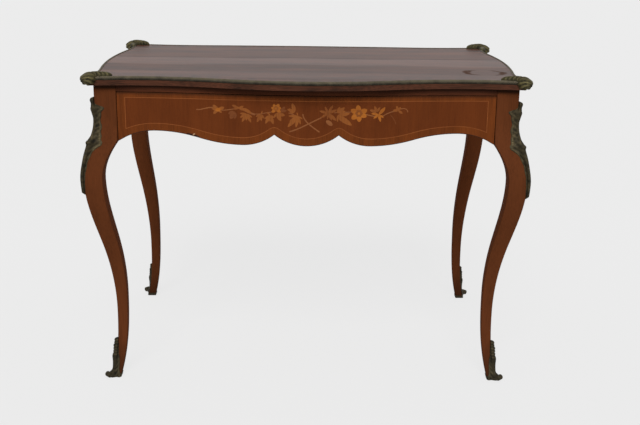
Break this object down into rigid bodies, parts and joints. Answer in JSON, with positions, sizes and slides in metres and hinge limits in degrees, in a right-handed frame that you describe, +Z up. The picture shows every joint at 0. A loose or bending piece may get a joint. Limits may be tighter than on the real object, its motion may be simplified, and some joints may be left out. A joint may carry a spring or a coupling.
{
  "type": "writing desk",
  "caption": "Small serpentine writing table on cabriole legs, with a veneered top, a full-width frieze drawer that slides, and cast bronze edge, corner, knee and foot mounts.",
  "frame": {"origin": "on the floor under the middle of the whole table", "axes": "+X along the width to the viewer's right, +Y from the drawer front to the back, +Z up"},
  "size_m": [1.0646, 0.7283, 0.774],
  "materials": {
    "show_wood": "red-brown wood, worn french polish",
    "carcase_wood": "plain inner wood, unpolished",
    "drawer_wood": "plain drawer wood, unpolished",
    "frieze_veneer": "polished veneer with pale inlay and stringing",
    "crossband_veneer": "polished cross-grain veneer",
    "top_veneer": "glossy polished veneer with light wear",
    "bronze": "dark olive patina, rubbed on high spots"
  },
  "bodies": {
    "carcase": {"leg_front_left": "show_wood", "leg_front_right": "show_wood", "leg_rear_left": "show_wood", "leg_rear_right": "show_wood", "front_rail": "show_wood", "back_apron": "carcase_wood", "side_apron_left": "carcase_wood", "side_apron_right": "carcase_wood", "drawer_runner_left": "carcase_wood", "drawer_runner_right": "carcase_wood", "drawer_guide_left": "carcase_wood", "drawer_guide_right": "carcase_wood", "drawer_kicker_left": "carcase_wood", "drawer_kicker_right": "carcase_wood", "drawer_stops": "carcase_wood", "glue_blocks": "carcase_wood", "side_apron_veneer_left": "frieze_veneer", "side_apron_veneer_right": "frieze_veneer", "back_apron_veneer": "frieze_veneer", "edge_moulding_front": "bronze", "edge_moulding_back": "bronze", "edge_moulding_left": "bronze", "edge_moulding_right": "bronze", "corner_mount_front_left": "bronze", "corner_mount_front_right": "bronze", "corner_mount_back_left": "bronze", "corner_mount_back_right": "bronze", "knee_mount_front_left": "bronze", "knee_mount_front_right": "bronze", "knee_mount_rear_left": "bronze", "knee_mount_rear_right": "bronze", "sabot_front_left": "bronze", "sabot_front_right": "bronze", "sabot_rear_left": "bronze", "sabot_rear_right": "bronze", "top_board": "show_wood", "top_crossband": "crossband_veneer", "top_field": "top_veneer"},
    "drawer": {"drawer_front": "drawer_wood", "drawer_front_veneer": "frieze_veneer", "drawer_side_left": "drawer_wood", "drawer_side_right": "drawer_wood", "drawer_back": "drawer_wood", "drawer_bottom": "drawer_wood"}
  },
  "joints": [
    {"name": "drawer_slide", "type": "slide", "parent": "carcase", "child": "drawer", "axis": [0, -1, 0], "range_m": [0, 0.35]}
  ]
}
